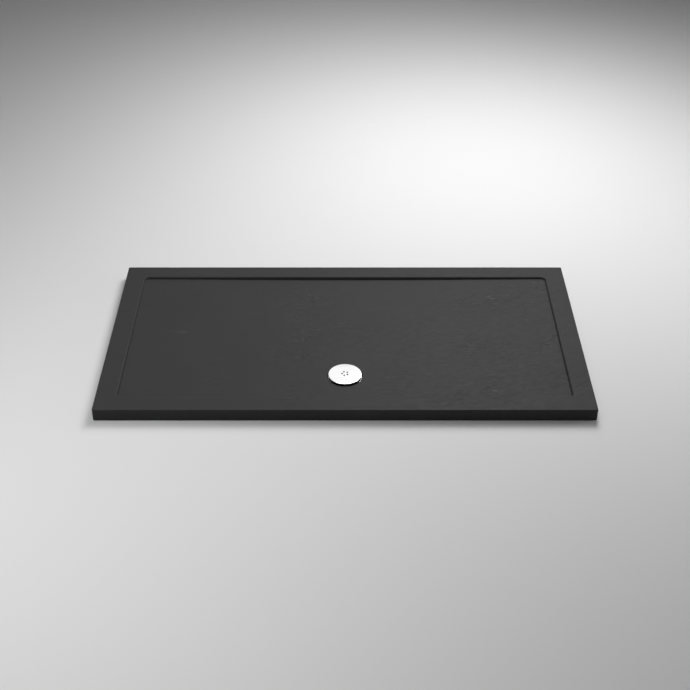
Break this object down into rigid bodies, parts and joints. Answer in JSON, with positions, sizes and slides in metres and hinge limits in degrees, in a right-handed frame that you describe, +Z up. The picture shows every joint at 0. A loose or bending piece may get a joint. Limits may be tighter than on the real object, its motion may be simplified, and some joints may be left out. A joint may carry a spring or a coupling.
{
  "type": "shower tray",
  "caption": "Low rectangular shower tray with a riven slate-effect face, a basin that falls to a round sump, and a chrome waste cover over a lift-out hair strainer.",
  "frame": {"origin": "centre of the tray's base, on the floor", "axes": "+X along the long side, +Y towards the back (the side away from the waste), +Z up"},
  "size_m": [1.5, 0.8, 0.04],
  "materials": {
    "slate_skin": "moulded acrylic with a matt riven slate texture, dark grey",
    "cast_core": "cast resin with mineral filler, pale grey, matt",
    "cover_chrome": "polished chrome",
    "carrier_plastic": "moulded black plastic",
    "strainer_plastic": "moulded light grey plastic",
    "seal_rubber": "black rubber",
    "flange_steel": "stainless steel, turned",
    "screw_steel": "stainless steel",
    "clamp_plastic": "moulded white plastic",
    "insert_brass": "brass"
  },
  "bodies": {
    "tray": {"tray_cap": "slate_skin", "tray_core": "cast_core", "waste_flange": "flange_steel", "flange_screws": "screw_steel", "upper_gasket": "seal_rubber", "lower_gasket": "seal_rubber", "clamp_ring": "clamp_plastic", "thread_inserts": "insert_brass"},
    "strainer": {"strainer_basket": "strainer_plastic", "strainer_o_ring": "seal_rubber"},
    "cover": {"waste_cover": "cover_chrome", "cover_carrier": "carrier_plastic"}
  },
  "joints": [
    {"name": "strainer_lift", "type": "slide", "parent": "tray", "child": "strainer", "axis": [0, 0, 1], "range_m": [0, 0.06]},
    {"name": "cover_lift", "type": "slide", "parent": "strainer", "child": "cover", "axis": [0, 0, 1], "range_m": [0, 0.06]}
  ]
}
